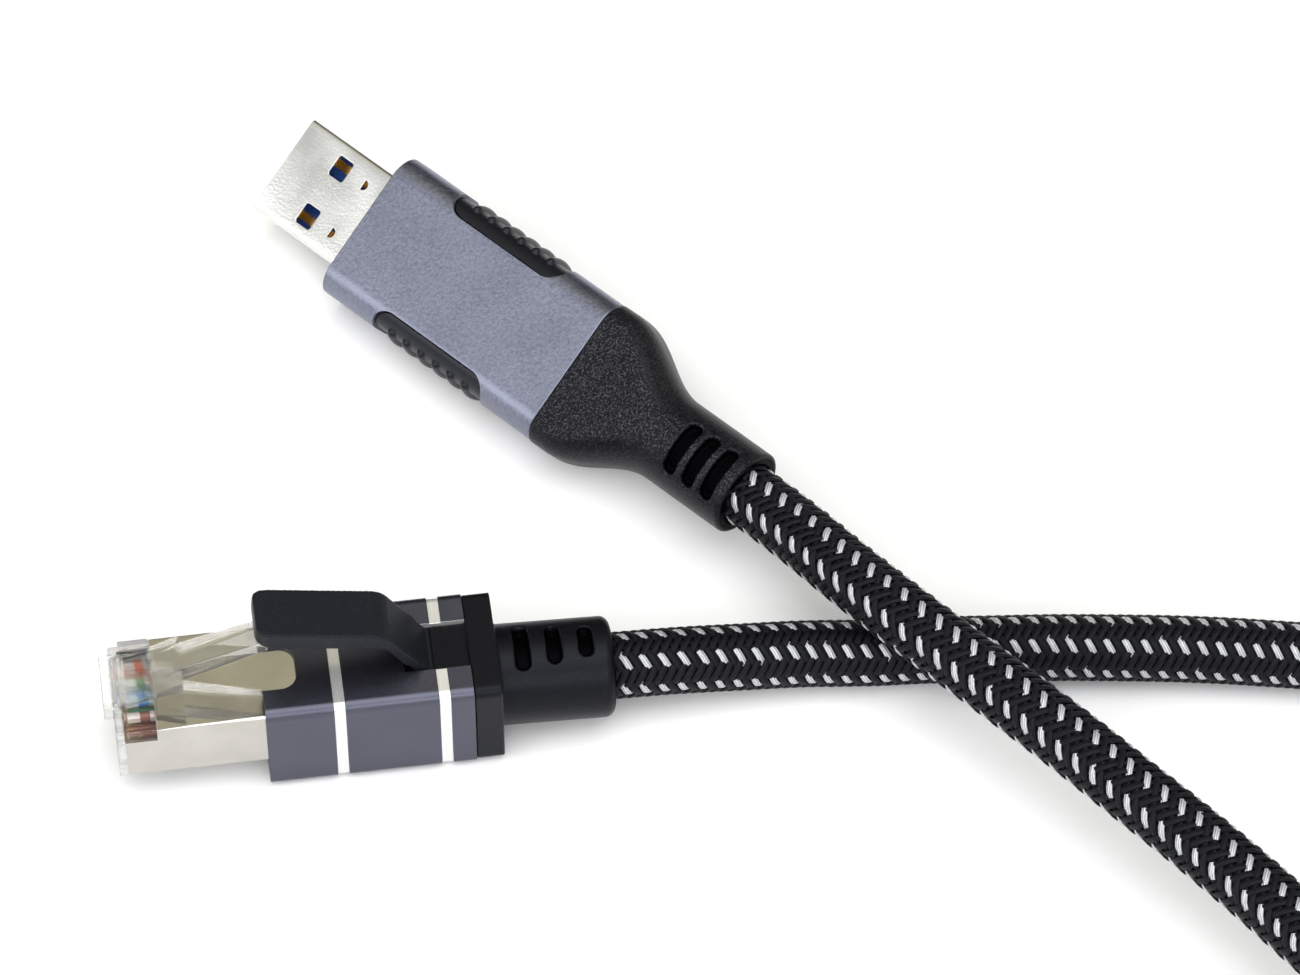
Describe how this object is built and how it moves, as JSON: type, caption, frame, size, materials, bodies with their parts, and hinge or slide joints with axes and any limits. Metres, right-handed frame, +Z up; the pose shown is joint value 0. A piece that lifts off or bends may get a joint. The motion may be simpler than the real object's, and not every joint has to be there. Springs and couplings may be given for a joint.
{
  "type": "network adapter cable",
  "caption": "Braided cable with a flat serial-bus plug in a metal sleeve at one end and a shielded network plug with a thumb lever at the other.",
  "frame": {"origin": "middle of the flat underside of the network plug's housing, on the table", "axes": "+Z up; the network plug points along -X and its cable leaves along +X; +Y to the plug's left, towards the serial-bus plug"},
  "size_m": [0.2456, 0.1993, 0.0228],
  "materials": {
    "nickel_shell": "bright nickel, fine scratches",
    "blue_tongue": "satin",
    "gold_contact": "gold flash",
    "black_plastic": "moulded",
    "board": "solder resist",
    "chip_black": "moulded epoxy",
    "crystal_can": "satin",
    "capacitor": "fired ceramic",
    "wire_white": "insulation",
    "crimp_metal": "crimped",
    "jacket": "braid over a round jacket",
    "sleeve_metal": "bead-blasted, blue-grey anodised",
    "grip_rubber": "satin",
    "tail_plastic": "fine grain",
    "clear_plastic": "clear polycarbonate",
    "shield_metal": "bright nickel",
    "wire_orange": "insulation",
    "wire_green": "insulation",
    "wire_blue": "insulation",
    "wire_brown": "insulation",
    "housing_metal": "satin grey anodised, two bands turned bright",
    "boot_plastic": "satin overmould",
    "tie_fabric": "woven hook-and-loop tape"
  },
  "bodies": {
    "cable_and_plugs": {"host_shell": "nickel_shell", "host_tongue": "blue_tongue", "host_power_contacts": "gold_contact", "host_fast_contacts": "gold_contact", "host_contact_carrier": "black_plastic", "host_circuit_board": "board", "controller_chip": "chip_black", "clock_crystal": "crystal_can", "network_transformer": "chip_black", "board_capacitors": "capacitor", "host_end_wires": "wire_white", "host_crimp_ring": "crimp_metal", "host_cable_end": "jacket", "host_inner_mould": "black_plastic", "host_sleeve": "sleeve_metal", "host_grip_near": "grip_rubber", "host_grip_far": "grip_rubber", "host_tail": "tail_plastic", "net_body": "clear_plastic", "net_shield": "shield_metal", "net_contacts": "gold_contact", "net_wire_guide": "clear_plastic", "pair_orange": "wire_orange", "pair_green": "wire_green", "pair_blue": "wire_blue", "pair_brown": "wire_brown", "net_crimp_ring": "crimp_metal", "net_cable_end": "jacket", "net_inner_mould": "black_plastic", "net_housing": "housing_metal", "net_boot": "boot_plastic", "cable_net_run": "jacket", "cable_coil": "jacket", "cable_host_run": "jacket", "coil_tie": "tie_fabric"},
    "latch": {"net_latch": "clear_plastic"},
    "lever": {"net_lever": "boot_plastic"}
  },
  "joints": [
    {"name": "lever_press", "type": "hinge", "parent": "cable_and_plugs", "child": "lever", "pos_m": [0.0067, 0, 0.01175], "axis": [0, -1, 0], "range_deg": [0, 13], "stiffness_Nm_per_rad": 0.02},
    {"name": "latch_press", "type": "hinge", "parent": "cable_and_plugs", "child": "latch", "pos_m": [-0.0263, 0, 0.0127], "axis": [0, 1, 0], "range_deg": [0, 11], "stiffness_Nm_per_rad": 0.02}
  ],
  "couplings": [
    {"joint": "latch_press", "follows": "lever_press", "ratio": 0.84}
  ]
}
